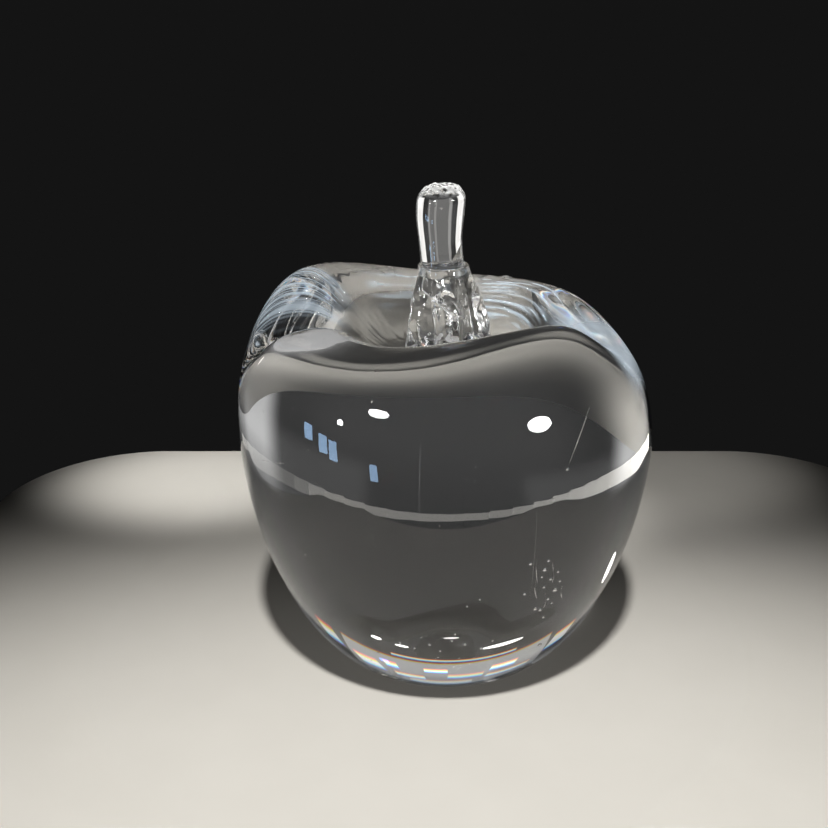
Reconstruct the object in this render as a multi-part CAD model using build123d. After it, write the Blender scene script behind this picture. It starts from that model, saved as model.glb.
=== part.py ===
from build123d import *
import math
import os

# A clear glass apple ornament, worked hot in three gathers of glass: a solid body with a dimpled,
# creased top and a polished flat base, a pleated foot pressed into the dimple, and a stem set in
# the foot. Millimetres, +Z up, origin at the centre of the polished base, front towards -Y.
# Directions round the axis are in degrees from +X, counter-clockwise seen from above.

# Body: the lower wall
BODY_DIAMETER = 88.0  # at the equator, the widest place
EQUATOR_HEIGHT = 48.5  # above the base
BASE_DIAMETER = 50.4  # of the polished flat, before its edge is rounded
BASE_EDGE_RADIUS = 0.8
WALL_TAPER_POWER = 1.6  # higher keeps the wall upright further down
WALL_BULGE_POWER = 2.85  # higher makes the wall fuller near the base

# Body: the shoulder and the wavy rim round the dimple
RIM_DIAMETER = 57.2  # mean, at the crest
RIM_HEIGHT = 77.7  # of the crest above the base, before the waves and creases
RIM_REACH_WAVES = ((1, 1.0, 207.0), (2, 1.3, 135.0))  # crests in a turn, reach, direction of one
REACH_FADE_POWER = 3  # higher keeps those waves nearer the rim
RIM_HEIGHT_WAVES = ((1, 1.2, 150.0), (2, 2.15, 153.0), (3, 0.95, 46.0))  # the same, for its height
WAVE_FADE_POWER = 8  # the same, for the waves in its height
RIM_CREASES = ((191.8, 9.7, 8.6), (354.4, 8.7, 16.8))  # direction, depth, half width in degrees
CREASE_FADE_POWER = 3  # higher keeps the creases nearer the rim
SHOULDER_POWER = 2.34  # 2 is an ellipse, higher is squarer
SHOULDER_POWER_SWING = 0.58  # squarer on one side by this, rounder on the other
SHOULDER_SQUAREST = 180.0  # direction of the squarest side

# Body: the dimple and the socket at its bottom
DIMPLE_DEPTH = 11.2  # from the rim's height down to the flat seat
SEAT_MARGIN = 0.2  # of the flat seat, left round the foot's widest pleat
SOCKET_DIAMETER = 10.0  # at the seat
SOCKET_END_DIAMETER = 6.6  # at the end of the foot's root
ROOT_LENGTH = 4.6  # of the foot's root, below the seat
AIR_POCKET = 0.7  # height of the flat bubble trapped under the root

# The stem's foot: a pleated skirt that leans towards -X
FOOT_HEIGHT = 18.4  # from the seat to the brim of its cup
FOOT_DIAMETER = 18.4  # mean, at the seat
FOOT_FLARE_POWER = 1.35  # 1 is a straight cone, higher flares late
FOOT_LEAN = 0.6  # how far the cup stands off the axis
NECK_WALL = 0.7  # glass round the stem at the cup's brim
CUP_DEPTH = 1.2
CUP_RADIUS = 12.0  # of the ball shape that seats the stem
PLEATS = 5
PLEAT_DEPTH = 1.15  # from the mean skirt to a pleat's crest, at its deepest
PLEAT_TWIST = -14.0  # degrees that a pleat turns from the seat to the neck
PLEAT_DIRECTION = 222.0  # of one pleat's crest at the seat
PLEAT_SPAN = (0.15, 1.0)  # share of a half wave that a pleat's depth runs through, seat to neck

# The stem: a bowed rod with a sheared tip
STEM_LENGTH = 17.6  # from the bottom of the cup to the tip
STEM_WAIST_DIAMETER = 8.9  # from the cup up to the waist
STEM_WAIST_HEIGHT = 5.2  # above the bottom of the cup
STEM_SWELL_DIAMETER = 9.9
STEM_SWELL_DEPTH = 5.2  # below the tip
STEM_TIP_DIAMETER = 4.0  # of the sheared flat
STEM_TIP_ROUND = 3.6  # height of the round below the flat
STEM_BOW = 0.7  # of the rod's middle, towards -X

# How finely the flowing shapes are drawn
RING_POINTS = 36
PLEATED_RING_POINTS = 40
WALL_RINGS = 6
SHOULDER_RINGS = 7
DIMPLE_RINGS = 6
FOOT_RINGS = 6
TIP_RINGS = 4

FULL_TURN = 2 * math.pi
SEAT_HEIGHT = RIM_HEIGHT - DIMPLE_DEPTH
SEAT_DIAMETER = FOOT_DIAMETER + 2 * (PLEAT_DEPTH + SEAT_MARGIN)
NECK_DIAMETER = STEM_WAIST_DIAMETER + 2 * NECK_WALL
CUP_BOTTOM = SEAT_HEIGHT + FOOT_HEIGHT - CUP_DEPTH


def waves(terms, direction):
    """Sum of the waves round a ring in that direction, which is in radians."""
    return sum(
        size * math.cos(count * (direction - math.radians(crest))) for count, size, crest in terms
    )


def crease_depth(direction):
    """How far the creases lower the rim in that direction."""
    total = 0.0
    for crease, depth, half_width in RIM_CREASES:
        away = math.remainder(direction - math.radians(crease), FULL_TURN)
        total += depth * math.exp(-0.5 * (away / math.radians(half_width)) ** 2)
    return total


def closed_ring(radius_and_height, points, shift=0.0):
    """A smooth closed wire through points at even directions round the axis."""
    corners = []
    for i in range(points):
        direction = FULL_TURN * i / points
        radius, height = radius_and_height(direction)
        x = radius * math.cos(direction) + shift
        corners.append(Vector(x, radius * math.sin(direction), height))
    return Wire([Edge.make_spline(corners, periodic=True)])


def wall_ring(height):
    """A level ring of the lower wall, from the base up to the equator."""
    cut_away = 1 - (BASE_DIAMETER / BODY_DIAMETER) ** WALL_BULGE_POWER
    below = (EQUATOR_HEIGHT - height) / EQUATOR_HEIGHT
    fullness = (1 - cut_away * below**WALL_TAPER_POWER) ** (1 / WALL_BULGE_POWER)
    return closed_ring(lambda direction: (BODY_DIAMETER / 2 * fullness, height), RING_POINTS)


def shoulder_ring(angle):
    """A ring of the shoulder: angle 0 is the equator, a right angle is the rim's crest."""

    def radius_and_height(direction):
        side = math.cos(direction - math.radians(SHOULDER_SQUAREST))
        bend = 2 / (SHOULDER_POWER + SHOULDER_POWER_SWING * side)
        out = math.cos(angle) ** bend
        up = math.sin(angle) ** bend
        radius = (RIM_DIAMETER + (BODY_DIAMETER - RIM_DIAMETER) * out) / 2
        radius += waves(RIM_REACH_WAVES, direction) * (1 - out) ** REACH_FADE_POWER
        height = EQUATOR_HEIGHT + (RIM_HEIGHT - EQUATOR_HEIGHT) * up
        height += waves(RIM_HEIGHT_WAVES, direction) * up**WAVE_FADE_POWER
        height -= crease_depth(direction) * up**CREASE_FADE_POWER
        return radius, height

    return closed_ring(radius_and_height, RING_POINTS)


def dimple_ring(share):
    """A ring of the dimple: share 1 is the rim's crest, 0 is the edge of the flat seat."""
    rise = (1 - math.cos(math.pi * share)) / 2

    def radius_and_height(direction):
        crest = RIM_DIAMETER / 2 + waves(RIM_REACH_WAVES, direction)
        drop = DIMPLE_DEPTH + waves(RIM_HEIGHT_WAVES, direction) - crease_depth(direction)
        radius = SEAT_DIAMETER / 2 + (crest - SEAT_DIAMETER / 2) * share
        return radius, SEAT_HEIGHT + drop * rise

    return closed_ring(radius_and_height, RING_POINTS)


def tapered_plug(length):
    """A cone that narrows downwards from the seat, with the socket's taper."""
    taper = (SOCKET_DIAMETER - SOCKET_END_DIAMETER) / ROOT_LENGTH
    end_diameter = SOCKET_DIAMETER - taper * length
    plug = Cone(bottom_radius=end_diameter / 2, top_radius=SOCKET_DIAMETER / 2, height=length)
    return Pos(0, 0, SEAT_HEIGHT - length / 2) * plug


def cup_ball():
    """The ball that shapes both the stem's lower end and the foot's cup."""
    return Pos(-FOOT_LEAN, 0, CUP_BOTTOM + CUP_RADIUS) * Sphere(CUP_RADIUS)


def make_body():
    """The solid apple with its socket."""
    rings = [wall_ring(EQUATOR_HEIGHT * i / WALL_RINGS) for i in range(WALL_RINGS)]
    quarter = math.pi / 2
    rings += [shoulder_ring(quarter * i / SHOULDER_RINGS) for i in range(SHOULDER_RINGS + 1)]
    rings += [dimple_ring(1 - i / DIMPLE_RINGS) for i in range(1, DIMPLE_RINGS + 1)]
    apple = Solid.make_loft(rings)
    base_edge = apple.edges().sort_by(Axis.Z)[0]
    apple = apple.fillet(BASE_EDGE_RADIUS, [base_edge])
    return apple - tapered_plug(ROOT_LENGTH + AIR_POCKET)


def make_foot():
    """The pleated skirt, its root in the socket and the cup that holds the stem."""

    def skirt_ring(share):
        flare = share**FOOT_FLARE_POWER
        mean = (FOOT_DIAMETER + (NECK_DIAMETER - FOOT_DIAMETER) * flare) / 2
        first, last = PLEAT_SPAN
        depth = PLEAT_DEPTH * math.sin(math.pi * (first + (last - first) * share))
        crest = math.radians(PLEAT_DIRECTION + PLEAT_TWIST * share)

        def radius_and_height(direction):
            pleat = depth * math.cos(PLEATS * (direction - crest))
            return mean + pleat, SEAT_HEIGHT + FOOT_HEIGHT * share

        return closed_ring(radius_and_height, PLEATED_RING_POINTS, -FOOT_LEAN * share)

    skirt = Solid.make_loft([skirt_ring(i / FOOT_RINGS) for i in range(FOOT_RINGS + 1)])
    return skirt + tapered_plug(ROOT_LENGTH) - cup_ball()


def make_stem():
    """The rod with its ball-shaped lower end, its swelling and its sheared tip."""

    def rod_ring(height, diameter):
        bow = STEM_BOW * math.sin(math.pi * max(height, 0) / STEM_LENGTH)
        centre = Vector(-FOOT_LEAN - bow, 0, CUP_BOTTOM + height)
        return Wire([Edge.make_circle(diameter / 2, Plane(centre))])

    rings = [
        rod_ring(-CUP_DEPTH, STEM_WAIST_DIAMETER),
        rod_ring(STEM_WAIST_HEIGHT / 2, STEM_WAIST_DIAMETER),
        rod_ring(STEM_WAIST_HEIGHT, STEM_WAIST_DIAMETER),
        rod_ring(STEM_LENGTH - STEM_SWELL_DEPTH, STEM_SWELL_DIAMETER),
    ]
    for i in range(1, TIP_RINGS + 1):
        angle = math.pi / 2 * i / TIP_RINGS
        height = STEM_LENGTH - STEM_TIP_ROUND * (1 - math.sin(angle))
        narrowing = (STEM_SWELL_DIAMETER - STEM_TIP_DIAMETER) * math.cos(angle)
        rings.append(rod_ring(height, STEM_TIP_DIAMETER + narrowing))
    trim_height = 2 * CUP_DEPTH + STEM_WAIST_HEIGHT
    below_cup = Pos(-FOOT_LEAN, 0, CUP_BOTTOM) * Cylinder(NECK_DIAMETER, trim_height)
    return Solid.make_loft(rings) - (below_cup - cup_ball())


def main():
    os.makedirs("parts", exist_ok=True)
    pieces = {"apple_body": make_body(), "stem_foot": make_foot(), "stem": make_stem()}
    for name, piece in pieces.items():
        export_step(piece, f"parts/{name}.step")


main()
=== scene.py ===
import math

import bpy
import numpy as np
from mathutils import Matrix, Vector, noise


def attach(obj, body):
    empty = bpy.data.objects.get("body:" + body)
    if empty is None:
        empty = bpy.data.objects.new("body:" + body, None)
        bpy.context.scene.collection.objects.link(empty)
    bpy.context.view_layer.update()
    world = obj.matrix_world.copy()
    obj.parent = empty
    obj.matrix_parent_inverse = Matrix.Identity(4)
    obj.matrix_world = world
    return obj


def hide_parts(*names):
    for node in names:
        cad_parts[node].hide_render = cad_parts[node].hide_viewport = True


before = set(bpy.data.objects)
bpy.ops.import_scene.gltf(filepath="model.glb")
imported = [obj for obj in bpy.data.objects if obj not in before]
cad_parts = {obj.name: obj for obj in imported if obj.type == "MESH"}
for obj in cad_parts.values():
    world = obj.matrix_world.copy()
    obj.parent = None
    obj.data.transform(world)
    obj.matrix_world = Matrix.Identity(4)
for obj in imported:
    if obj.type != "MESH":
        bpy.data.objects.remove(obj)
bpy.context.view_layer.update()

# A clear glass apple ornament: a solid body with a creased, dimpled top, a pleated foot pressed into
# the dimple and a bowed stem with a sheared tip. Shapes are drawn in millimetres, in the part's frame.
# Directions round the axis are in degrees from +X, counter-clockwise seen from above.

scene = bpy.context.scene
MM = 0.001
FULL_TURN = 2 * math.pi

# Body
BODY_RADIUS = 44.0
EQUATOR_HEIGHT = 48.5
BASE_RADIUS = 25.2
BASE_EDGE_RADIUS = 0.8
WALL_TAPER_POWER = 1.6
WALL_BULGE_POWER = 2.85
RIM_RADIUS = 28.6
RIM_HEIGHT = 77.7
RIM_REACH_WAVES = ((1, 1.0, 207.0), (2, 1.3, 135.0))  # crests in a turn, reach, direction of one
REACH_FADE_POWER = 3
RIM_HEIGHT_WAVES = ((1, 1.2, 150.0), (2, 2.15, 153.0), (3, 0.95, 46.0))  # the same, for its height
WAVE_FADE_POWER = 8
RIM_CREASES = ((191.8, 9.7, 8.6), (354.4, 8.7, 16.8))  # direction, depth, half width in degrees
CREASE_FADE_POWER = 3
SHOULDER_POWER = 2.34
SHOULDER_POWER_SWING = 0.58
SHOULDER_SQUAREST = 180.0
SEAT_HEIGHT = 66.5
SEAT_RADIUS = 10.55
SOCKET_RADIUS = 5.0
SOCKET_END_RADIUS = 3.3
ROOT_LENGTH = 4.6
AIR_POCKET = 0.7
AIR_GAP = 0.04  # left between two pieces so that each keeps its own surface

# Marks of the making in the body's skin, and painted reflection carried as frost on its top: streaks, a
# glow and strokes of light. A window holds where a mark starts, is full, is still full and ends. An edge
# holds the two noise levels between which a frosted spot comes up.
WANDER_DEPTH = 0.06  # of the whole skin's slow unevenness
WANDER_SIZE = 17.0
WANDER_HEIGHTS = (2.0, 10.0)  # over which it sets in above the base
WANDER_CALM = 5.0  # width of the calmer ring round the seat
TOP_HEIGHTS = (60.0, 66.0)  # over which the furrows and the painted streaks and strokes of the top set in
# Painted reflection on the left fold: bluish-white streaks of light, carried as frost
STREAK_WIDTHS = ((0.2, 0.6), (0.6, 0.4))  # of the fine and of the broad streaks, with their share
STREAK_LENGTH = 20.0
STREAK_DIRECTIONS = (156.0, 163.0, 181.0, 187.0)
STREAK_RADII = (19.0, 26.0, 38.0, 43.0)
STREAK_EDGE = (-0.15, 0.15)
STREAK_PAINTED_REFLECTION = 0.95
PAINTED_STREAK_GLOW = 0.06  # painted glow between the streaks
# A painted pale grey-blue glow of light on the right fold, carried as frost
PAINTED_GLOW_DIRECTIONS = (330.0, 340.0, 368.0, 380.0)
PAINTED_GLOW_RADII = (21.0, 25.0, 38.0, 43.0)
PAINTED_GLOW_HEIGHTS = (60.0, 64.0)
PAINTED_GLOW_LEVEL = 0.65
# Painted strokes of reflected light along the dimple, carried as frost: windows of direction and radius,
# breadth, length, frost
PAINTED_STROKES = (
    ((12.0, 24.0, 66.0, 80.0), (15.0, 18.0, 26.0, 29.0), 0.6, 12.0, 0.8),
    ((92.0, 100.0, 130.0, 142.0), (18.0, 22.0, 26.0, 28.0), 0.8, 9.0, 0.6),
)
PAINTED_STROKE_EDGE = (-0.1, 0.4)
# Shallow furrows that run into the dimple
FURROW_DIRECTIONS = (90.0, 108.0, 235.0, 255.0)
FURROW_RADII = (11.0, 13.5, 26.0, 31.0)
FURROW_DEPTH = 0.5
FURROW_BREADTH = 2.6
FURROW_LENGTH = 9.0
FURROW_DRAW = 7.3  # takes the furrows from another stretch of the noise
# Small lumps on the rim: direction, radius, rise, size
LUMPS = ((61.0, 28.3, 0.75, 0.95), (69.0, 28.0, 0.5, 0.8), (118.0, 27.5, 0.6, 1.0))
LUMP_HEIGHTS = (66.0, 70.0)
# Wear on the ring that the base stands on
WORN_HEIGHTS = (0.1, 0.5)
WORN_RADII = (18.0, 23.0)
WORN_SIZE = 3.0
WORN_EDGE = (0.0, 0.6)

# Seeds, which are tiny bubbles inside the body: x, y, z, radius
SEEDS = (
    (15.5, -15.8, 29.9, 0.45), (17.2, -14.2, 24.8, 0.55), (14.9, -14.7, 20.8, 0.4),
    (16.4, -14.6, 27.4, 0.35), (16.0, -15.2, 31.6, 0.3), (15.0, -15.4, 28.3, 0.25),
    (17.6, -14.4, 28.8, 0.3), (16.2, -14.9, 23.1, 0.35), (12.4, -16.6, 25.2, 0.35),
    (14.2, -15.5, 21.4, 0.45), (13.2, -16.6, 31.6, 0.3), (15.4, -15.0, 25.9, 0.3),
    (17.9, -13.8, 26.5, 0.25), (16.8, -14.3, 21.9, 0.25), (15.6, -14.6, 18.9, 0.3),
    (-5.1, -16.3, 13.4, 0.3), (-1.0, -17.0, 13.0, 0.25), (5.6, -16.1, 13.3, 0.34),
    (0.9, -16.5, 15.4, 0.3), (-4.0, -16.9, 16.2, 0.22), (7.4, -15.8, 14.9, 0.28),
    (-2.7, -16.7, 14.5, 0.36), (3.0, -16.6, 14.5, 0.4), (1.4, -17.3, 17.1, 0.26),
    (5.3, -18.1, 25.0, 0.22), (3.3, -18.2, 23.6, 0.24), (-7.4, -15.9, 14.4, 0.34),
    (14.9, -11.0, 11.3, 0.4), (-22.2, -11.7, 30.8, 0.22), (-11.7, -12.5, 58.5, 0.18),
    (4.6, -9.0, 63.0, 0.3), (-5.2, -8.2, 63.6, 0.26), (18.7, -14.3, 47.9, 0.3),
)
SEED_POINTS = 12
SEED_ROWS = 7
SEED_END = 75.0  # degrees up to a seed's last ring
# Finer seeds, strewn through the body
FINE_SEEDS = 46
FINE_SEED_DRAW = 5
FINE_SEED_RADII = (0.05, 0.12)
FINE_SEED_POINTS = 8
FINE_SEED_HEIGHTS = (8.0, 66.0)
FINE_SEED_REACH = 0.86  # share of the wall's radius that they keep within
FINE_SEED_SPREAD = (0.05, 1.0)
FINE_SEED_TOP_REACH = 0.8  # share of their reach that is left above the equator
FINE_SEED_CEILING = 56.0  # their height at most under the seat
# Drawn-out threads of air: start, middle, end, radius
THREADS = (
    ((-4.1, -16.0, 54.0), (-4.3, -17.6, 42.0), (-4.0, -18.6, 29.4), 0.08),
    ((14.1, -16.9, 42.5), (13.9, -16.6, 33.0), (13.2, -16.0, 23.7), 0.07),
    ((22.4, -10.8, 57.2), (20.3, -12.8, 52.6), (18.9, -14.2, 48.6), 0.13),
    ((14.3, -16.4, 34.5), (14.0, -16.8, 31.0), (14.5, -16.5, 27.2), 0.13),
    ((16.4, -13.6, 30.9), (16.9, -13.3, 28.6), (16.5, -13.6, 26.2), 0.16),
    ((14.0, -15.0, 27.8), (13.7, -14.7, 25.6), (14.3, -14.8, 23.4), 0.15),
    ((18.3, -13.2, 25.6), (18.0, -13.4, 23.8), (18.5, -13.1, 22.0), 0.13),
    ((15.4, -13.8, 24.4), (15.8, -13.6, 22.6), (15.3, -13.7, 20.8), 0.15),
)
THREAD_POINTS = 10
THREAD_ROWS = 40
THREAD_TAPER_POWER = 0.7  # lower keeps a thread thick nearer its ends

# The stem's foot
FOOT_HEIGHT = 18.4
FOOT_RADIUS = 9.2
FOOT_FLARE_POWER = 1.35
FOOT_LEAN = 0.6
NECK_RADIUS = 5.15
CUP_DEPTH = 1.2
CUP_RADIUS = 12.0
PLEATS = 5
PLEAT_DEPTH = 1.15
PLEAT_TWIST = -14.0
PLEAT_DIRECTION = 222.0
PLEAT_SPAN = (0.15, 1.0)  # share of a half wave that a pleat's depth runs through, seat to neck
PLEAT_ROUNDING = 0.12  # how soft a pleat's crest is, 0 is a knife edge
CUP_BOTTOM = SEAT_HEIGHT + FOOT_HEIGHT - CUP_DEPTH
# Ridges and grooves: direction at the seat, its turn up to the neck, height, half width
RIDGES = (
    (247.0, -46.0, 1.1, 9.0), (222.0, -8.0, 0.9, 8.0), (234.0, -20.0, -0.8, 7.0),
    (262.0, -30.0, -0.8, 9.0), (282.0, 14.0, 0.9, 8.0), (295.0, 10.0, -0.8, 7.0),
    (312.0, 6.0, 0.9, 9.0),
)
RIDGE_START = 0.1  # share of the foot's height over which they set in
# A lapped fold: direction and share of the foot's height at its two ends
FOLD_FROM = (228.0, 0.76)
FOLD_TO = (300.0, 0.47)
FOLD_ENDS = (-0.08, 0.05, 0.95, 1.08)  # window along the fold
FOLD_DEPTH = 1.2
FOLD_LIP = 0.02  # share of the foot's height over which the fold comes out
FOLD_FADE = 0.24  # the same, over which it dies out upwards
FOOT_LUMPS = ((0.35, 2.6), (0.05, 0.9))  # depth and size of the uneven skin
FOOT_CALM_ROWS = (8, 10)  # at the seat and at the neck, over which that sets in
# Frost round the seat, and a frosted patch in front
FROST_HEIGHTS = (0.2, 2.6)  # above the seat, where it is full and where it ends
FROST_SIZE = 1.6
FROST_EDGE = (-0.5, 0.3)
PATCH_DIRECTIONS = (250.0, 257.0, 275.0, 283.0)
PATCH_HEIGHTS = (2.6, 3.6, 5.8, 7.6)
PATCH_SIZE = 0.9
PATCH_EDGE = (-0.3, 0.2)

# The stem
STEM_LENGTH = 17.6
STEM_WAIST_RADIUS = 4.45
STEM_WAIST_HEIGHT = 5.2
STEM_SWELL_RADIUS = 4.95
STEM_SWELL_DEPTH = 5.2
STEM_TIP_RADIUS = 2.0
STEM_TIP_ROUND = 3.6
STEM_BOW = 0.7
ROD_START = 1.0  # height of the rod's first ring above the cup's bottom
STEM_WANDER = (0.12, 4.0)  # depth and size of the uneven skin
STEM_WANDER_HEIGHTS = (1.2, 3.0)  # over which that sets in
TIP_BUMPS = (0.55, 1.0)  # depth and size on the sheared end
TIP_BUMP_LEVEL = 0.8  # noise level at which the skin stays where it is
TIP_ROUGH_DEPTHS = (2.6, 0.6)  # below the tip, where the bumps start and where they are full
TIP_FROST_SIZE = 0.8
TIP_FROST_EDGE = (-0.6, 0.2)
STEM_SEEDS = (
    (-3.1, -2.4, 96.6, 0.24), (-2.0, -2.9, 97.4, 0.2), (-1.0, -3.0, 96.9, 0.28),
    (-3.4, -1.6, 94.2, 0.14),
)

# How finely the skins are drawn
BODY_POINTS = 440
BODY_CLOSER = ((177.0, 4.5, 14.0), (354.4, 2.0, 16.0))  # direction, more points there, half width
DIRECTION_STEPS = 2000
BASE_ROWS = 12
EDGE_ROWS = 8
WALL_ROWS = 44
SHOULDER_ROWS = 66
DIMPLE_ROWS = 60
SEAT_ROWS = 5
SOCKET_ROWS = 8
FOOT_POINTS = 300
ROOT_ROWS = 12
UNDERSIDE_ROWS = 6
FOOT_ROWS = 100
CUP_ROWS = 12
STEM_POINTS = 144
STEM_END_ROWS = 12
ROD_ROWS = 60
TIP_ROWS = 36
SHEAR_ROWS = 10
# Shares of an end's radius at its innermost ring, inside which a fan closes the skin
BASE_FAN = 0.05
CUP_FAN = 0.05
STEM_END_FAN = 0.06
SHEAR_FAN = 0.1
SOCKET_END_SHARES = (0.66, 0.33)  # of both rings on the socket's end, and on the root's
SHARP_ANGLE = 40.0  # edges with a sharper turn stay crisp
TINY = 1e-9  # keeps a division by a length from failing

# Glass: faint tint, roughness of its smudges, roughness of its frost, colour of its frost. The body's
# bluish frost colour also tints the painted reflection on its top.
BODY_GLASS = ((0.985, 0.99, 0.986), 0.015, 0.25, (0.74, 0.87, 1.0))
FOOT_GLASS = ((0.97, 0.975, 0.97), 0.03, 0.4, (0.97, 0.98, 1.0))
STEM_GLASS = ((0.975, 0.98, 0.975), 0.02, 0.45, (0.98, 0.99, 1.0))
GLASS_IOR = 1.53
FROST_SHEEN_ROUGHNESS = 1.0  # of the whitish bloom on frosted glass, which on the body also paints reflected light
CLOUD_SCALE = 45.0
CLOUD_DETAIL = 4.0
TINT_RANGE = (0.3, 0.7)  # of the cloud, from tinted to clear
SMEAR_RANGE = (0.55, 0.8)  # of the cloud, from clean to smudged

# The stage: a plain pale board that the apple stands on
BOARD_WIDTH = 260.0
BOARD_FRONT = -115.0
BOARD_REAR = 106.0
BOARD_CORNER = 40.0
BOARD_CORNER_STEP = 3.0  # degrees
BOARD_THICKNESS = 6.0
BOARD_COLOURS = ((0.68, 0.66, 0.62), (0.73, 0.71, 0.67))
BOARD_SHADE = 0.69  # about how pale they are
BOARD_ROUGHNESS = 0.8
GRAIN_SCALE = 60.0
GRAIN_DETAIL = 6.0

# The studio: dark behind the apple, pale low at its sides and dim in front, with a faint dome
# overhead. Levels are at elevations in degrees.
DOME_LEVELS = ((-90, 0.006), (-30, 0.007), (0, 0.007), (35, 0.015), (60, 0.07), (90, 0.1))
SIDE_LEVELS = ((-60, 0.0), (-45, 0.5), (-16, 0.5), (-10, 0.0))
SIDE_START = (0.56, 0.7)  # how far sideways a direction points where the pale sides start and are full
FRONT_LEVELS = ((-40, 0.1), (-22, 0.3), (0, 0.52), (45, 0.5), (70, 0.1))
FRONT_START = (-0.1, 0.7)  # the same, forwards

# Lamps. Azimuth 0 is behind the apple, 90 is right and 180 is the front. Sizes are in metres.
LAMP_AIM = Vector((0, 0, 0.048))
LAMP_DISTANCE = 0.9
WHITE = (1, 1, 1)
# Softboxes behind the apple that light its base: azimuth, elevation, width, height, level, and the
# degrees between their three colours, which give their edges the fringes that glass draws
REAR_BOXES = (
    (-2, 11.0, 0.5, 0.016, 0.6, 0.3), (0, 26.0, 1.0, 0.42, 0.34, 0.6),
    (-21, 28.0, 0.22, 0.05, 0.6, 0.9), (-17, 20.0, 0.12, 0.05, 0.9, 0.9),
    (-6, 25.0, 0.16, 0.05, 0.6, 1.2), (3, 19.0, 0.1, 0.04, 1.0, 0.7),
    (2, 34.0, 0.3, 0.08, 0.4, 1.0), (12, 28.0, 0.14, 0.06, 0.7, 1.0),
    (16, 19.0, 0.06, 0.05, 0.9, 1.2), (25, 24.0, 0.12, 0.12, 0.8, 1.6),
    (36, 16.0, 0.1, 0.1, 0.6, 1.4), (-36, 18.0, 0.12, 0.12, 0.6, 1.0),
)
FRINGES = (("red", (1, 0, 0)), ("green", (0, 1, 0)), ("blue", (0, 0, 1)))
BLUE_SPOT = (17.5, 17, (0.04, 0.03), 2.0, (0.1, 0.25, 1.0))  # azimuth, elevation, size, level, colour
# Upright panels behind the board that draw the stem: azimuth, distance and width in mm, level, and
# whether they light the foot too
STEM_PANELS = (
    (-46, 200, 92, 1.0, True), (46, 200, 92, 1.0, True), (0, 300, 230, 0.12, False),
    (-17, 290, 26, 0.16, False), (7, 290, 18, 0.12, False), (18, 290, 14, 0.14, False),
)
STEM_PANEL_HEIGHT = 150
STEM_PANEL_COLOUR = (1, 0.98, 0.95)
# Panels that glint on the facets of the foot: azimuth, elevation, size, level
FOOT_PANELS = (
    (-150, 38, (0.12, 0.16), 12.0), (152, 32, (0.12, 0.22), 12.0), (-100, 25, (0.1, 0.3), 8.0),
    (100, 20, (0.1, 0.3), 8.0), (-32, 32, (0.06, 0.2), 5.0), (36, 26, (0.06, 0.2), 5.0),
)
FROST_LAMP = (160, 50, (0.3, 0.3), 20.0)  # the same, for the soft lamp that whitens the frosted skin
# Small lamps low behind the apple, which glint above its base
REAR_GLINTS = (
    (16, 5, (0.04, 0.014), 3.0), (10, 5.5, (0.05, 0.012), 2.0), (-1, 1, (0.05, 0.008), 1.0),
    (-13, 6, (0.16, 0.02), 1.5), (-47, 4, (0.05, 0.1), 3.0),
)
REAR_GLINT_COLOUR = (1, 0.99, 0.96)
# Round lamps that show in the front of the glass: name, azimuth, elevation, size, level, distance
ROUND_LAMPS = (
    ("right", 127, 11, (0.22, 0.125), 30.0, LAMP_DISTANCE),
    ("left", -147, 17, (0.18, 0.1), 30.0, LAMP_DISTANCE),
    ("far_left", -126, 4, (0.08, 0.08), 25.0, 1.2),
)
# Cool panes beside them: name, azimuth, elevation, size
COOL_PANES = (
    ("outer", -107, -6, (0.08, 0.1)), ("middle_left", -116, -8.5, (0.08, 0.11)),
    ("middle_right", -122, -9.8, (0.075, 0.12)), ("low", -144, -14, (0.06, 0.09)),
)
PANE_LEVEL = 9.0
PANE_COLOUR = (0.42, 0.66, 1.0)
# Soft pools of light on the board: name, its middle in mm, the lamp's elevation, width in mm, level,
# the lamp's radius, and whether the apple shades it. The key comes from high in front, so that the
# apple's shadow lies behind it. The last three are light that the glass lets through and gathers.
POOLS = (
    ("key", (0, -80), 69, 300, 0.66, 0.03, True),
    ("key_rear_left", (-74, 84), 69, 76, 0.62, 0.01, True),
    ("key_rear_right", (62, 88), 69, 88, 0.16, 0.01, True),
    ("key_behind", (12, 58), 69, 76, 0.36, 0.01, True),
    ("through", (0, -90), 90, 300, 0.1, 0.02, False),
    ("gathered_under", (4, 10), 90, 48, 0.36, 0.002, False),
    ("gathered_behind", (-4, 58), 90, 19, 0.2, 0.002, False),
)
POOL_LAMP_HEIGHT = 0.9
POOL_BREADTH = 1.4  # a pool is this much broader from side to side
POOL_COLOUR = (1, 0.98, 0.94)
# A ring of low strips round the front, which draws a fine line across the lower part of the glass
RING_RADII = (158.0, 140.0)
RING_CENTRE = (5.0, 0.0)
RING_FROM, RING_TO = 135.0, 405.0
RING_STRIPS = 27
STRIP_WIDTHS = (8.0, 18.0)  # in front and at the right
STRIP_WIDENING = (290, 350)  # directions between which they change over
STRIP_LEVELS = (0.7, 3.0, 5.0)  # at the left, in front and at the right
STRIP_BRIGHTENING = ((185, 215), (280, 325))  # directions between which they change over
STRIP_COLOUR = (1, 0.97, 0.9)

# The camera
CAMERA_ELEVATION = 21.34
CAMERA_DISTANCE = 0.2332
CAMERA_LENS = 46.7
CAMERA_SENSOR = 36
CAMERA_SHIFT = (-0.039, 0.0221)


def smooth_step(low, high, value):
    share = np.clip((value - low) / (high - low), 0, 1)
    return share * share * (3 - 2 * share)


def window(limits, value):
    """1 inside the limits, fading to 0 outside them."""
    start, full, still_full, end = limits
    return smooth_step(start, full, value) * (1 - smooth_step(still_full, end, value))


def waves(terms, direction):
    """Sum of the waves round a ring in directions in radians."""
    return sum(size * np.cos(count * (direction - math.radians(crest))) for count, size, crest in terms)


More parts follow.
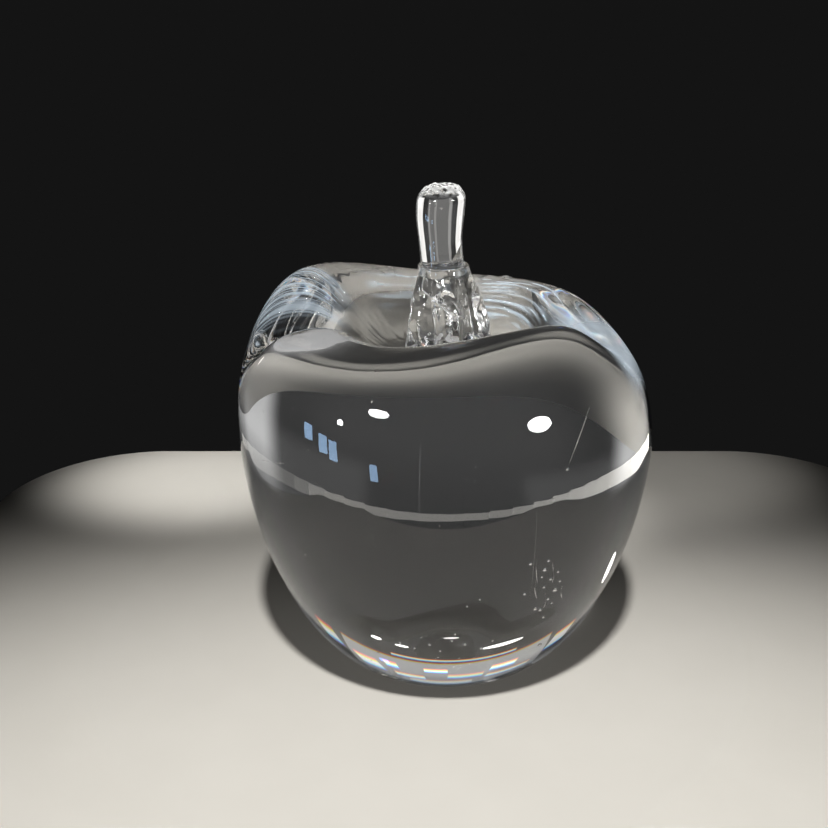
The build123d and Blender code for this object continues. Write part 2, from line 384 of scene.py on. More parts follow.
def turn_between(direction, degrees):
    """Signed angle from a direction in degrees to directions in radians."""
    return np.angle(np.exp(1j * (direction - math.radians(degrees))))


def bell(direction, middle, half_width):
    """1 in a direction in degrees, falling off to both sides."""
    return np.exp(-0.5 * (turn_between(direction, middle) / math.radians(half_width)) ** 2)


def crease_depth(direction):
    """How far the creases lower the rim in that direction."""
    return sum(depth * bell(direction, crease, half_width) for crease, depth, half_width in RIM_CREASES)


def wall_radius(height):
    cut_away = 1 - (BASE_RADIUS / BODY_RADIUS) ** WALL_BULGE_POWER
    below = (EQUATOR_HEIGHT - height) / EQUATOR_HEIGHT
    return BODY_RADIUS * (1 - cut_away * below**WALL_TAPER_POWER) ** (1 / WALL_BULGE_POWER)


def body_profile(direction):
    """Rings of radius and height over the whole skin, from the middle of the base to the socket's end."""
    level = 0 * direction
    rings = []
    slope = math.atan2(BASE_EDGE_RADIUS, wall_radius(BASE_EDGE_RADIUS) - wall_radius(0))
    flat_radius = BASE_RADIUS - BASE_EDGE_RADIUS * math.tan(slope / 2)
    for share in np.linspace(BASE_FAN, 1, BASE_ROWS):
        rings.append((flat_radius * share + level, level))
    for angle in np.linspace(0, slope, EDGE_ROWS)[1:]:
        across = flat_radius + BASE_EDGE_RADIUS * math.sin(angle)
        rings.append((across + level, BASE_EDGE_RADIUS * (1 - math.cos(angle)) + level))
    edge_top = rings[-1][1][0]
    for height in np.linspace(edge_top, EQUATOR_HEIGHT, WALL_ROWS)[1:]:
        rings.append((wall_radius(height) + level, height + level))
    reach = waves(RIM_REACH_WAVES, direction)
    wave = waves(RIM_HEIGHT_WAVES, direction)
    crease = crease_depth(direction)
    side = np.cos(turn_between(direction, SHOULDER_SQUAREST))
    bend = 2 / (SHOULDER_POWER + SHOULDER_POWER_SWING * side)
    for angle in np.linspace(0, math.pi / 2, SHOULDER_ROWS)[1:-1]:
        out = math.cos(angle) ** bend
        up = math.sin(angle) ** bend
        radius = RIM_RADIUS + (BODY_RADIUS - RIM_RADIUS) * out + reach * (1 - out) ** REACH_FADE_POWER
        height = EQUATOR_HEIGHT + (RIM_HEIGHT - EQUATOR_HEIGHT) * up
        height = height + wave * up**WAVE_FADE_POWER - crease * up**CREASE_FADE_POWER
        rings.append((radius, height))
    crest = RIM_RADIUS + reach
    rise = RIM_HEIGHT + wave - crease
    for share in np.linspace(1, 0, DIMPLE_ROWS):
        radius = SEAT_RADIUS + (crest - SEAT_RADIUS) * share
        rings.append((radius, SEAT_HEIGHT + (rise - SEAT_HEIGHT) * (1 - math.cos(math.pi * share)) / 2))
    for radius in np.linspace(SEAT_RADIUS, SOCKET_RADIUS, SEAT_ROWS)[1:]:
        rings.append((radius + level, SEAT_HEIGHT + level))
    taper = (SOCKET_RADIUS - SOCKET_END_RADIUS) / ROOT_LENGTH
    depth = ROOT_LENGTH + AIR_POCKET
    for drop in np.linspace(0, depth, SOCKET_ROWS)[1:]:
        rings.append((SOCKET_RADIUS - taper * drop + level, SEAT_HEIGHT - drop + level))
    end_radius = SOCKET_RADIUS - taper * depth
    for share in SOCKET_END_SHARES:
        rings.append((end_radius * share + level, SEAT_HEIGHT - depth + level))
    return rings


def points_of(rings, direction, shift=None):
    """Rings of radius and height as an array of points, ring by ring."""
    radius = np.array([ring[0] for ring in rings])
    height = np.array([ring[1] for ring in rings])
    x = radius * np.cos(direction)
    if shift is not None:
        x = x + np.array(shift)[:, None]
    return np.stack([x, radius * np.sin(direction), height], axis=2)


def grid_normals(points):
    """Outward normals of a grid of rings, which closes round each ring."""
    along = np.gradient(points, axis=0)
    around = np.roll(points, -1, axis=1) - np.roll(points, 1, axis=1)
    normal = np.cross(around, along)
    return normal / np.maximum(np.linalg.norm(normal, axis=2, keepdims=True), TINY)


def noise_at(points, size, offset=0.0):
    """Smooth noise between about -1 and 1 at each point, with lumps of about that size in mm."""
    flat = points.reshape(-1, 3) / size + offset
    return np.array([noise.noise(Vector(p)) for p in flat]).reshape(points.shape[:-1])


def line_noise(arc, radius, arc_size, radius_size, offset=0.0):
    """Noise with lumps of one size along the rim and another along the radius."""
    level = 0 * radius
    return noise_at(np.stack([arc / arc_size + level, radius / radius_size, level], axis=2), 1.0, offset)


class Skin:
    """Vertices and faces of one piece, gathered from closed skins, with the frost at each vertex, which
    on the body also holds painted reflection.
    """

    def __init__(self):
        self.vertices = []
        self.faces = []
        self.frost = []

    def add_rings(self, points, frost=None, inside_out=False):
        """A closed skin through rings of points, with a fan to the middle of the first and last ring."""
        start = sum(len(v) for v in self.vertices)
        rings, count = points.shape[:2]
        first = points[0].mean(axis=0)
        last = points[-1].mean(axis=0)
        self.vertices.append(np.vstack([first, points.reshape(-1, 3), last]))
        if frost is None:
            frost = np.zeros((rings, count))
        self.frost.append(np.concatenate([[frost[0].mean()], frost.ravel(), [frost[-1].mean()]]))
        low_tip = start
        high_tip = start + 1 + rings * count
        faces = []
        for i in range(count):
            j = (i + 1) % count
            faces.append((low_tip, start + 1 + j, start + 1 + i))
            for k in range(rings - 1):
                a = start + 1 + k * count
                b = a + count
                faces.append((a + i, a + j, b + j, b + i))
            top = start + 1 + (rings - 1) * count
            faces.append((top + i, top + j, high_tip))
        if inside_out:
            faces = [face[::-1] for face in faces]
        self.faces += faces

    def make(self, name, material, node):
        """The piece itself, which stands for a node of the part."""
        mesh = bpy.data.meshes.new(name)
        vertices = np.vstack(self.vertices) * MM
        mesh.from_pydata(vertices.tolist(), [], self.faces)
        mesh.polygons.foreach_set("use_smooth", [True] * len(mesh.polygons))
        # The frost holds real frost and wear, and on the body painted reflection too
        frost = mesh.attributes.new("frost", "FLOAT", "POINT")
        frost.data.foreach_set("value", np.concatenate(self.frost))
        mesh.materials.append(material)
        piece = bpy.data.objects.new(name, mesh)
        scene.collection.objects.link(piece)
        edges = piece.modifiers.new("sharp_edges", "EDGE_SPLIT")
        edges.split_angle = math.radians(SHARP_ANGLE)
        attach(piece, "root")
        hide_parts(node)
        return piece


def seed_rings(centre, radius, points=SEED_POINTS):
    """Rings of one round bubble."""
    direction = np.linspace(0, FULL_TURN, points, endpoint=False)
    level = 0 * direction
    rings = []
    for angle in np.linspace(-SEED_END, SEED_END, SEED_ROWS):
        across = radius * math.cos(math.radians(angle))
        up = radius * math.sin(math.radians(angle))
        rings.append((across + level, centre[2] + up + level))
    return points_of(rings, direction) + np.array([centre[0], centre[1], 0.0])


def thread_rings(start, middle, end, radius):
    """Rings of a thread of air that tapers to both ends of a curve."""
    direction = np.linspace(0, FULL_TURN, THREAD_POINTS, endpoint=False)
    circle = np.stack([np.cos(direction), np.sin(direction), 0 * direction], axis=1)
    rings = []
    for share in np.linspace(1, 0, THREAD_ROWS)[1:-1]:
        first = (1 - share) ** 2 * np.array(start)
        centre = first + 2 * share * (1 - share) * np.array(middle) + share**2 * np.array(end)
        rings.append(centre + radius * math.sin(math.pi * share) ** THREAD_TAPER_POWER * circle)
    return np.array(rings)


def add_seeds(skin):
    """All the air inside the body: seeds, finer seeds and threads."""
    for x, y, z, radius in SEEDS:
        skin.add_rings(seed_rings((x, y, z), radius), inside_out=True)
    rng = np.random.default_rng(FINE_SEED_DRAW)
    for _ in range(FINE_SEEDS):
        height = rng.uniform(*FINE_SEED_HEIGHTS)
        wall = wall_radius(min(height, EQUATOR_HEIGHT))
        reach = FINE_SEED_REACH * wall * math.sqrt(rng.uniform(*FINE_SEED_SPREAD))
        if height > EQUATOR_HEIGHT:
            reach = reach * FINE_SEED_TOP_REACH
        around = rng.uniform(0, FULL_TURN)
        radius = rng.uniform(*FINE_SEED_RADII)
        if reach < SEAT_RADIUS:
            height = min(height, FINE_SEED_CEILING)
        centre = (reach * math.cos(around), reach * math.sin(around), height)
        skin.add_rings(seed_rings(centre, radius, FINE_SEED_POINTS), inside_out=True)
    for start, middle, end, radius in THREADS:
        skin.add_rings(thread_rings(start, middle, end, radius), inside_out=True)


def body_directions():
    """Directions round the body, closer together over the creases and the streaks."""
    even = np.linspace(0, FULL_TURN, DIRECTION_STEPS)
    density = 1 + sum(more * bell(even, middle, half_width) for middle, more, half_width in BODY_CLOSER)
    share = np.concatenate([[0], np.cumsum((density[1:] + density[:-1]) / 2)])
    return np.interp(np.arange(BODY_POINTS) / BODY_POINTS, share / share[-1], even)


def crease_arc(direction):
    """Distance along the rim from the first crease."""
    return turn_between(direction, RIM_CREASES[0][0]) * RIM_RADIUS


def body_shift(points, direction, radius, height):
    """How far each point of the body's skin moves out along its normal."""
    calm = smooth_step(SEAT_RADIUS, SEAT_RADIUS + WANDER_CALM, radius)
    free = smooth_step(*WANDER_HEIGHTS, height) * calm
    shift = -WANDER_DEPTH * free * (1 + noise_at(points, WANDER_SIZE)) / 2
    zone = window(FURROW_DIRECTIONS, np.degrees(direction)) * window(FURROW_RADII, radius)
    zone = zone * smooth_step(*TOP_HEIGHTS, height)
    furrows = line_noise(crease_arc(direction), radius, FURROW_BREADTH, FURROW_LENGTH, FURROW_DRAW)
    shift = shift - FURROW_DEPTH * zone * (1 + furrows) / 2
    for degrees, reach, rise, size in LUMPS:
        x = reach * math.cos(math.radians(degrees))
        y = reach * math.sin(math.radians(degrees))
        away = np.hypot(points[..., 0] - x, points[..., 1] - y)
        shift = shift + rise * np.exp(-0.5 * (away / size) ** 2) * smooth_step(*LUMP_HEIGHTS, height)
    return shift


def body_frost_and_painted_light(points, direction, radius, height):
    """How frosted each point of the body's skin is: real wear on the base ring, and painted reflection as
    streaks, glow and strokes on the top.
    """
    degrees = np.degrees(direction)
    top = smooth_step(*TOP_HEIGHTS, height)
    worn = (1 - smooth_step(*WORN_HEIGHTS, height)) * smooth_step(*WORN_RADII, radius)
    frost = worn * smooth_step(*WORN_EDGE, noise_at(points, WORN_SIZE))
    # Painted reflection: bluish-white streaks of light on the left fold
    arc = crease_arc(direction)
    streak = sum(share * line_noise(arc, radius, width, STREAK_LENGTH) for width, share in STREAK_WIDTHS)
    zone = window(STREAK_DIRECTIONS, degrees) * window(STREAK_RADII, radius) * top
    frost = frost + zone * (PAINTED_STREAK_GLOW + STREAK_PAINTED_REFLECTION * smooth_step(*STREAK_EDGE, streak))
    # Painted glow of pale grey-blue light on the right fold
    turned = np.where(degrees < 180, degrees + 360, degrees)
    zone = window(PAINTED_GLOW_DIRECTIONS, turned) * window(PAINTED_GLOW_RADII, radius)
    frost = frost + PAINTED_GLOW_LEVEL * zone * smooth_step(*PAINTED_GLOW_HEIGHTS, height)
    # Painted strokes of reflected light along the dimple
    for directions, radii, breadth, length, strength in PAINTED_STROKES:
        strokes = line_noise(direction * RIM_RADIUS, radius, length, breadth)
        zone = window(directions, degrees) * window(radii, radius) * top
        frost = frost + strength * zone * smooth_step(*PAINTED_STROKE_EDGE, strokes)
    return frost


def make_body(material):
    direction = body_directions()
    smooth = points_of(body_profile(direction), direction)
    radius = np.hypot(smooth[..., 0], smooth[..., 1])
    height = smooth[..., 2]
    shift = body_shift(smooth, direction, radius, height)
    points = smooth + grid_normals(smooth) * shift[..., None]
    skin = Skin()
    skin.add_rings(points, body_frost_and_painted_light(points, direction, radius, height))
    add_seeds(skin)
    return skin.make("apple_body_glass", material, "apple_body")


def foot_skirt(direction, share):
    """Radius of the pleated skirt at a share of its height."""
    mean = FOOT_RADIUS + (NECK_RADIUS - FOOT_RADIUS) * share**FOOT_FLARE_POWER
    first, last = PLEAT_SPAN
    depth = PLEAT_DEPTH * math.sin(math.pi * (first + (last - first) * share))
    turn = PLEATS * turn_between(direction, PLEAT_DIRECTION + PLEAT_TWIST * share)
    crest = np.sqrt(np.sin(turn / 2) ** 2 + PLEAT_ROUNDING**2) - PLEAT_ROUNDING
    radius = mean + depth * (1 - 2 * crest)
    for at_seat, lean, height, half_width in RIDGES:
        away = turn_between(direction, at_seat + lean * share) / math.radians(half_width)
        ridge = height * np.maximum(1 - abs(away), 0)
        radius = radius + ridge * (1 - share) * smooth_step(0, RIDGE_START, share)
    (start, start_share), (end, end_share) = FOLD_FROM, FOLD_TO
    along = (np.degrees(direction) - start) / (end - start)
    above = share - (start_share + (end_share - start_share) * along)
    lap = window((0, FOLD_LIP, 0, FOLD_FADE), above)
    return radius + FOLD_DEPTH * lap * window(FOLD_ENDS, along)


def make_foot(material):
    direction = np.linspace(0, FULL_TURN, FOOT_POINTS, endpoint=False)
    level = 0 * direction
    rings = []
    lean = []

    def add(radius, height, shift=0.0):
        rings.append((radius + level, height + level))
        lean.append(shift)

    taper = (SOCKET_RADIUS - SOCKET_END_RADIUS) / ROOT_LENGTH
    for share in (*reversed(SOCKET_END_SHARES), 1.0):
        add((SOCKET_END_RADIUS - AIR_GAP) * share, SEAT_HEIGHT - ROOT_LENGTH)
    for drop in np.linspace(ROOT_LENGTH, -AIR_GAP, ROOT_ROWS)[1:]:
        add(SOCKET_RADIUS - AIR_GAP - taper * drop, SEAT_HEIGHT - drop)
    inner = SOCKET_RADIUS - AIR_GAP
    outer = foot_skirt(direction, 0.0)
    for share in np.linspace(0, 1, UNDERSIDE_ROWS)[1:-1]:
        add(inner + (outer - inner) * share, SEAT_HEIGHT + AIR_GAP)
    skirt_start = len(rings)
    for share in np.linspace(0, 1, FOOT_ROWS):
        height = SEAT_HEIGHT + AIR_GAP + (FOOT_HEIGHT - AIR_GAP) * share
        add(foot_skirt(direction, share), height, -FOOT_LEAN * share)
    ball_centre = CUP_BOTTOM + CUP_RADIUS
    brim = np.minimum(rings[-1][0], NECK_RADIUS)
    rings[-1] = (brim, ball_centre - np.sqrt(CUP_RADIUS**2 - brim**2))
    skirt_end = len(rings) - 1
    for share in np.linspace(1, CUP_FAN, CUP_ROWS)[1:]:
        radius = brim * share
        add(radius, ball_centre - np.sqrt(CUP_RADIUS**2 - radius**2), -FOOT_LEAN)
    points = points_of(rings, direction, lean)
    normals = grid_normals(points)
    shift = sum(depth * (noise_at(points, size) - 1) / 2 for depth, size in FOOT_LUMPS)
    row = np.arange(len(rings))[:, None]
    calm_low, calm_high = FOOT_CALM_ROWS
    free = smooth_step(skirt_start, skirt_start + calm_low, row)
    free = free * (1 - smooth_step(skirt_end - calm_high, skirt_end, row))
    points = points + normals * (shift * free)[..., None]
    low = points[..., 2] - SEAT_HEIGHT
    frost = (1 - smooth_step(*FROST_HEIGHTS, low)) * (row >= skirt_start)
    frost = frost * smooth_step(*FROST_EDGE, noise_at(points, FROST_SIZE))
    patch = window(PATCH_DIRECTIONS, np.degrees(direction)) * window(PATCH_HEIGHTS, low)
    patch = patch * (row >= skirt_start) * smooth_step(*PATCH_EDGE, noise_at(points, PATCH_SIZE))
    skin = Skin()
    skin.add_rings(points, np.maximum(frost, patch))
    return skin.make("stem_foot_glass", material, "stem_foot")


def make_stem(material):
    direction = np.linspace(0, FULL_TURN, STEM_POINTS, endpoint=False)
    level = 0 * direction
    rings = []
    lean = []

    def add(radius, height):
        rings.append((radius + level, CUP_BOTTOM + AIR_GAP + height + level))
        lean.append(-FOOT_LEAN - STEM_BOW * math.sin(math.pi * max(height, 0) / STEM_LENGTH))

    for share in np.linspace(STEM_END_FAN, 1, STEM_END_ROWS):
        radius = STEM_WAIST_RADIUS * share
        add(radius, CUP_RADIUS - math.sqrt(CUP_RADIUS**2 - radius**2))
    length = STEM_LENGTH - AIR_GAP
    swell = length - STEM_SWELL_DEPTH
    round_start = length - STEM_TIP_ROUND
    for height in np.linspace(ROD_START, round_start, ROD_ROWS):
        grown = smooth_step(STEM_WAIST_HEIGHT, swell, height)
        add(STEM_WAIST_RADIUS + (STEM_SWELL_RADIUS - STEM_WAIST_RADIUS) * grown, height)
    for angle in np.linspace(0, math.pi / 2, TIP_ROWS)[1:]:
        radius = STEM_TIP_RADIUS + (STEM_SWELL_RADIUS - STEM_TIP_RADIUS) * math.cos(angle)
        add(radius, round_start + STEM_TIP_ROUND * math.sin(angle))
    for share in np.linspace(1, SHEAR_FAN, SHEAR_ROWS)[1:]:
        add(STEM_TIP_RADIUS * share, length)
    points = points_of(rings, direction, lean)
    normals = grid_normals(points)
    height = points[..., 2] - CUP_BOTTOM
    depth, size = STEM_WANDER
    shift = depth * (noise_at(points, size) - 1) / 2 * smooth_step(*STEM_WANDER_HEIGHTS, height)
    depth, size = TIP_BUMPS
    rough_start, rough_full = TIP_ROUGH_DEPTHS
    rough = smooth_step(STEM_LENGTH - rough_start, STEM_LENGTH - rough_full, height)
    shift = shift + depth * (noise_at(points, size) - TIP_BUMP_LEVEL) / 2 * rough
    points = points + normals * shift[..., None]
    skin = Skin()
    skin.add_rings(points, rough * smooth_step(*TIP_FROST_EDGE, noise_at(points, TIP_FROST_SIZE)))
    for x, y, z, radius in STEM_SEEDS:
        skin.add_rings(seed_rings((x, y, z), radius), inside_out=True)
    return skin.make("stem_glass", material, "stem")


def glass(name, faint_tint, smudge, frosted, frost_colour):
    """Clear glass: a tint that comes and goes, faint smudges and the frost that a skin carries, which on
    the body also holds painted reflection.
    """
    material = bpy.data.materials.new(name)
    material.use_nodes = True
    tree = material.node_tree
    shader = tree.nodes["Principled BSDF"]
    shader.inputs["IOR"].default_value = GLASS_IOR
    shader.inputs["Transmission Weight"].default_value = 1.0
    shader.inputs["Sheen Roughness"].default_value = FROST_SHEEN_ROUGHNESS
    shader.inputs["Sheen Tint"].default_value = (*frost_colour, 1)
    place = tree.nodes.new("ShaderNodeTexCoord")
    cloud = tree.nodes.new("ShaderNodeTexNoise")
    cloud.inputs["Scale"].default_value = CLOUD_SCALE
    cloud.inputs["Detail"].default_value = CLOUD_DETAIL
    tint = tree.nodes.new("ShaderNodeValToRGB")
    colours = ((*faint_tint, 1), (*WHITE, 1))
    for element, position, colour in zip(tint.color_ramp.elements, TINT_RANGE, colours):
        element.position = position
        element.color = colour
    smear = tree.nodes.new("ShaderNodeMapRange")
    smear.inputs["From Min"].default_value, smear.inputs["From Max"].default_value = SMEAR_RANGE
    smear.inputs["To Max"].default_value = smudge
    frost = tree.nodes.new("ShaderNodeAttribute")
    frost.attribute_name = "frost"
    rough = tree.nodes.new("ShaderNodeMath")
    rough.operation = "MULTIPLY_ADD"
    rough.inputs[1].default_value = frosted
    colour = tree.nodes.new("ShaderNodeMixRGB")
    colour.inputs["Color2"].default_value = (*frost_colour, 1)
    tree.links.new(place.outputs["Object"], cloud.inputs["Vector"])
    tree.links.new(cloud.outputs["Fac"], tint.inputs["Fac"])
    tree.links.new(cloud.outputs["Fac"], smear.inputs["Value"])
    tree.links.new(frost.outputs["Fac"], rough.inputs[0])
    tree.links.new(smear.outputs["Result"], rough.inputs[2])
    tree.links.new(frost.outputs["Fac"], colour.inputs["Fac"])
    tree.links.new(tint.outputs["Color"], colour.inputs["Color1"])
    tree.links.new(colour.outputs["Color"], shader.inputs["Base Color"])
    tree.links.new(rough.outputs["Value"], shader.inputs["Roughness"])
    # The frost's sheen whitens the skin; on the body it also paints the reflected light
    tree.links.new(frost.outputs["Fac"], shader.inputs["Sheen Weight"])
    return material


def pale_board():
    """The board's material, pale with a faint grain."""
    material = bpy.data.materials.new("pale_board")
    material.use_nodes = True
    tree = material.node_tree
    shader = tree.nodes["Principled BSDF"]
    shader.inputs["Roughness"].default_value = BOARD_ROUGHNESS
    shader.inputs["Specular IOR Level"].default_value = 0.0
    place = tree.nodes.new("ShaderNodeTexCoord")
    grain = tree.nodes.new("ShaderNodeTexNoise")
    grain.inputs["Scale"].default_value = GRAIN_SCALE
    grain.inputs["Detail"].default_value = GRAIN_DETAIL
    ramp = tree.nodes.new("ShaderNodeValToRGB")
    for element, colour in zip(ramp.color_ramp.elements, BOARD_COLOURS):
        element.color = (*colour, 1)
    tree.links.new(place.outputs["Object"], grain.inputs["Vector"])
    tree.links.new(grain.outputs["Fac"], ramp.inputs["Fac"])
    tree.links.new(ramp.outputs["Color"], shader.inputs["Base Color"])
    return material


def make_floor():
    """The board with its rounded corners, its top at the base of the apple."""
    middle = (BOARD_FRONT + BOARD_REAR) / 2
    half_x = BOARD_WIDTH / 2 - BOARD_CORNER
    half_y = (BOARD_REAR - BOARD_FRONT) / 2 - BOARD_CORNER
    outline = []
    for degrees in np.arange(0, 360, BOARD_CORNER_STEP):
        angle = math.radians(degrees)
        x = math.copysign(half_x, math.cos(angle)) + BOARD_CORNER * math.cos(angle)
        y = middle + math.copysign(half_y, math.sin(angle)) + BOARD_CORNER * math.sin(angle)
        outline.append((x, y))
    count = len(outline)
    vertices = [(x * MM, y * MM, 0) for x, y in outline]
    vertices += [(x * MM, y * MM, -BOARD_THICKNESS * MM) for x, y in outline]
    faces = [tuple(range(count)), tuple(range(2 * count - 1, count - 1, -1))]
    for i in range(count):
        j = (i + 1) % count
        faces.append((i, i + count, j + count, j))
    mesh = bpy.data.meshes.new("floor")
    mesh.from_pydata(vertices, [], faces)
    mesh.materials.append(pale_board())
    floor = bpy.data.objects.new("floor", mesh)
    scene.collection.objects.link(floor)


def make_world():
    """The studio's faint light, which the glass shows and the board doesn't take."""
    world = bpy.data.worlds.new("dark_studio")
    scene.world = world
    world.use_nodes = True
    world.cycles_visibility.diffuse = False
    tree = world.node_tree
    background = tree.nodes["Background"]
    place = tree.nodes.new("ShaderNodeTexCoord")
    split = tree.nodes.new("ShaderNodeSeparateXYZ")
    tree.links.new(place.outputs["Generated"], split.inputs[0])

    def by_elevation(levels):
        """Grey levels at elevations."""
        height = tree.nodes.new("ShaderNodeMapRange")
        height.inputs["From Min"].default_value = -1.0
        colours = tree.nodes.new("ShaderNodeValToRGB")
        tree.links.new(split.outputs["Z"], height.inputs["Value"])
        tree.links.new(height.outputs["Result"], colours.inputs["Fac"])
        while len(colours.color_ramp.elements) < len(levels):
            colours.color_ramp.elements.new(0.5)
        for element, (elevation, level) in zip(colours.color_ramp.elements, levels):
            element.position = (math.sin(math.radians(elevation)) + 1) / 2
            element.color = (level, level, level, 1)
        return colours.outputs["Color"]

    def add_towards(total, axis, operation, limits, levels):
        """The total plus levels that show only to both sides of an axis, or only against it."""
        reach = tree.nodes.new("ShaderNodeMath")
        reach.operation = operation
        reach.inputs[1].default_value = -1.0  # what a product turns round by
        edge = tree.nodes.new("ShaderNodeMapRange")
        edge.interpolation_type = "SMOOTHSTEP"
        edge.inputs["From Min"].default_value, edge.inputs["From Max"].default_value = limits
        both = tree.nodes.new("ShaderNodeVectorMath")
        both.operation = "MULTIPLY_ADD"
        tree.links.new(split.outputs[axis], reach.inputs[0])
        tree.links.new(reach.outputs["Value"], edge.inputs["Value"])
        tree.links.new(edge.outputs["Result"], both.inputs[0])
        tree.links.new(by_elevation(levels), both.inputs[1])
        tree.links.new(total, both.inputs[2])
        return both.outputs["Vector"]

    total = add_towards(by_elevation(DOME_LEVELS), "X", "ABSOLUTE", SIDE_START, SIDE_LEVELS)
    total = add_towards(total, "Y", "MULTIPLY", FRONT_START, FRONT_LEVELS)
    tree.links.new(total, background.inputs["Color"])


def place_lamp(name, shape, size, radiance, colour, location, towards, through=True):
    """An area lamp that the glass shows. Through is whether it shows behind the glass too."""
    light = bpy.data.lights.new(name, "AREA")
    light.shape = shape
    light.size, light.size_y = size
    light.energy = radiance * math.pi * size[0] * size[1]
    light.color = colour
    piece = bpy.data.objects.new(name, light)
    piece.location = location
    piece.rotation_euler = towards.to_track_quat("-Z", "Y").to_euler()
    piece.visible_camera = False
    piece.visible_diffuse = False
    piece.visible_transmission = through
    scene.collection.objects.link(piece)
    return piece


def lamp(
    name, azimuth, elevation, size, radiance, colour=WHITE, shape="RECTANGLE", through=True,
    distance=LAMP_DISTANCE,
):
    """A lamp that faces the apple."""
    around = math.radians(azimuth)
    up = math.radians(elevation)
    away = Vector((math.sin(around) * math.cos(up), math.cos(around) * math.cos(up), math.sin(up)))
    return place_lamp(name, shape, size, radiance, colour, LAMP_AIM + away * distance, -away, through)


def shine_only_on(lamp_piece, pieces):
    group = bpy.data.collections.new(lamp_piece.name + "_receivers")
    for piece in pieces:
        group.objects.link(piece)
    lamp_piece.light_linking.receiver_collection = group


def light_base():
    """The softboxes behind the apple, each as three lamps of one colour, and a blue spot."""
    for index, (azimuth, elevation, width, height, level, spread) in enumerate(REAR_BOXES):
        for step, (name, colour) in enumerate(FRINGES):
            up = elevation + spread * (step - 1)
            box = lamp("rear_box_%d_%s" % (index, name), azimuth, up, (width, height), level, colour)
            box.visible_glossy = False
    lamp("blue_spot", *BLUE_SPOT)


def light_stem(foot, stem):
    """The panels that draw the stem and its foot."""
    for index, (azimuth, distance, width, level, on_foot) in enumerate(STEM_PANELS):
        around = math.radians(azimuth)
        facing = Vector((-math.sin(around), -math.cos(around), 0))
        spot = -facing * distance * MM
        spot.z = STEM_PANEL_HEIGHT / 2 * MM
        size = (width * MM, STEM_PANEL_HEIGHT * MM)
        name = "stem_panel_%d" % index
        panel = place_lamp(name, "RECTANGLE", size, level, STEM_PANEL_COLOUR, spot, facing)
        shine_only_on(panel, (foot, stem) if on_foot else (stem,))
    for index, panel in enumerate(FOOT_PANELS):
        shine_only_on(lamp("foot_panel_%d" % index, *panel), (foot,))


def light_frost(pieces):
    """The soft lamp that whitens the frosted skin."""
    frost_lamp = lamp("frost_lamp", *FROST_LAMP, through=False)
    frost_lamp.visible_diffuse = True
    frost_lamp.visible_glossy = False
    shine_only_on(frost_lamp, pieces)


def light_glints():
    """The small lamps behind the apple, and the round lamps and panes that its front shows."""
    for index, glint in enumerate(REAR_GLINTS):
        lamp("rear_glint_%d" % index, *glint, REAR_GLINT_COLOUR, "ELLIPSE")
    for name, azimuth, elevation, size, level, distance in ROUND_LAMPS:
        lamp("round_" + name, azimuth, elevation, size, level, WHITE, "ELLIPSE", False, distance)
    for name, azimuth, elevation, size in COOL_PANES:
        lamp("cool_pane_" + name, azimuth, elevation, size, PANE_LEVEL, PANE_COLOUR, through=False)


def light_board(name, spot, elevation, width, level, radius, shadow):
    """One round pool of light on the board, whose lamp doesn't show in the glass."""
    light = bpy.data.lights.new(name, "SPOT")
    up = math.radians(elevation)
    away = Vector((0, -math.cos(up), math.sin(up)))
    distance = POOL_LAMP_HEIGHT / math.sin(up)
    light.energy = level / BOARD_SHADE * math.pi * 4 * math.pi * distance**2 / math.sin(up)
    light.spot_size = 2 * math.atan(width / 2 * MM / distance)
    light.spot_blend = 1.0
    light.shadow_soft_size = radius
    light.use_shadow = shadow
    light.color = POOL_COLOUR
    piece = bpy.data.objects.new(name, light)
    piece.location = Vector((spot[0] * MM, spot[1] * MM, 0)) + away * distance
    piece.rotation_euler = (-away).to_track_quat("-Z", "Y").to_euler()
    piece.scale.x = POOL_BREADTH
    piece.visible_glossy = False
    piece.visible_transmission = False
    scene.collection.objects.link(piece)


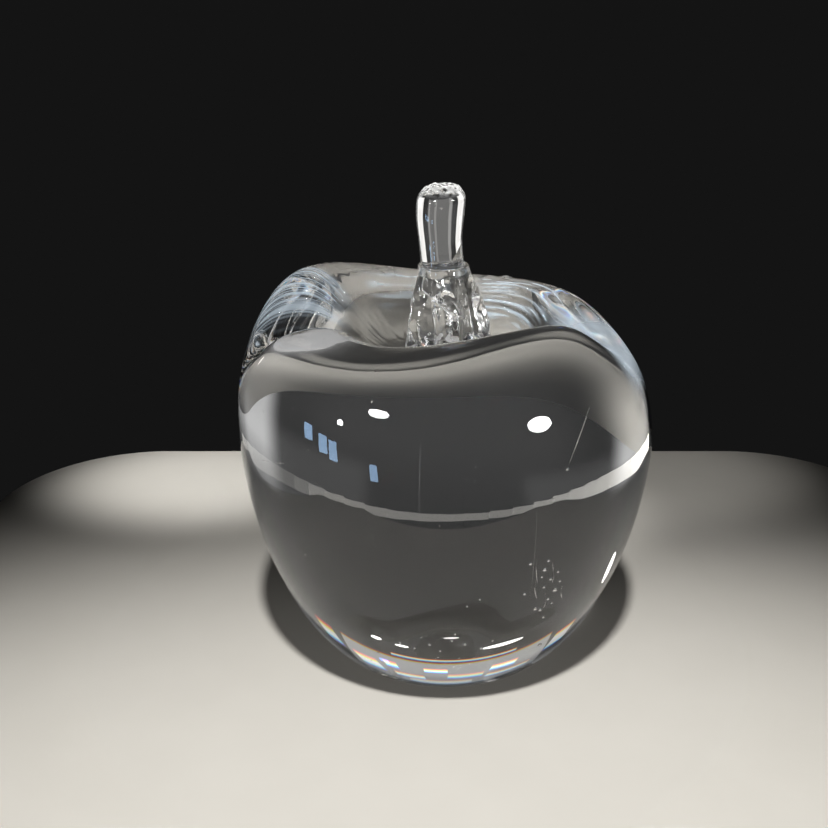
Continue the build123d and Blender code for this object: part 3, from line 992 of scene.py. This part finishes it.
def ring_point(degrees):
    """A point of the ring of low strips."""
    angle = math.radians(degrees)
    x = RING_CENTRE[0] + RING_RADII[0] * math.cos(angle)
    return Vector((x * MM, (RING_CENTRE[1] + RING_RADII[1] * math.sin(angle)) * MM, 0))


def light_ring():
    """The ring of low strips, which widens and brightens towards the right."""
    step = (RING_TO - RING_FROM) / RING_STRIPS
    narrow, wide = STRIP_WIDTHS
    at_left, in_front, at_right = STRIP_LEVELS
    from_left, to_right = STRIP_BRIGHTENING
    for index in range(RING_STRIPS):
        around = RING_FROM + index * step
        start = ring_point(around)
        end = ring_point(around + step)
        middle = (start + end) / 2
        width = narrow + (wide - narrow) * smooth_step(*STRIP_WIDENING, around)
        size = ((end - start).length, width * MM)
        level = at_left + (in_front - at_left) * smooth_step(*from_left, around)
        level = level + (at_right - in_front) * smooth_step(*to_right, around)
        name = "low_strip_%d" % index
        place_lamp(name, "RECTANGLE", size, level, STRIP_COLOUR, middle, LAMP_AIM - middle, False)


def make_camera():
    camera = bpy.data.cameras.new("camera")
    camera.lens = CAMERA_LENS
    camera.sensor_width = CAMERA_SENSOR
    camera.shift_x, camera.shift_y = CAMERA_SHIFT
    piece = bpy.data.objects.new("camera", camera)
    up = math.radians(CAMERA_ELEVATION)
    back = Vector((0, -math.cos(up), math.sin(up)))
    piece.location = LAMP_AIM + back * CAMERA_DISTANCE
    piece.rotation_euler = (-back).to_track_quat("-Z", "Y").to_euler()
    scene.collection.objects.link(piece)
    bpy.context.scene.camera = piece


body = make_body(glass("clear_glass", *BODY_GLASS))
foot = make_foot(glass("tooled_glass", *FOOT_GLASS))
stem = make_stem(glass("stem_glass", *STEM_GLASS))
make_floor()
make_world()
light_base()
light_stem(foot, stem)
light_frost((body, foot, stem))
light_glints()
for pool in POOLS:
    light_board(*pool)
light_ring()
make_camera()

scene.view_settings.view_transform = "Standard"
scene.cycles.max_bounces = 64
scene.cycles.transmission_bounces = 64
scene.cycles.glossy_bounces = 12
scene.cycles.diffuse_bounces = 0
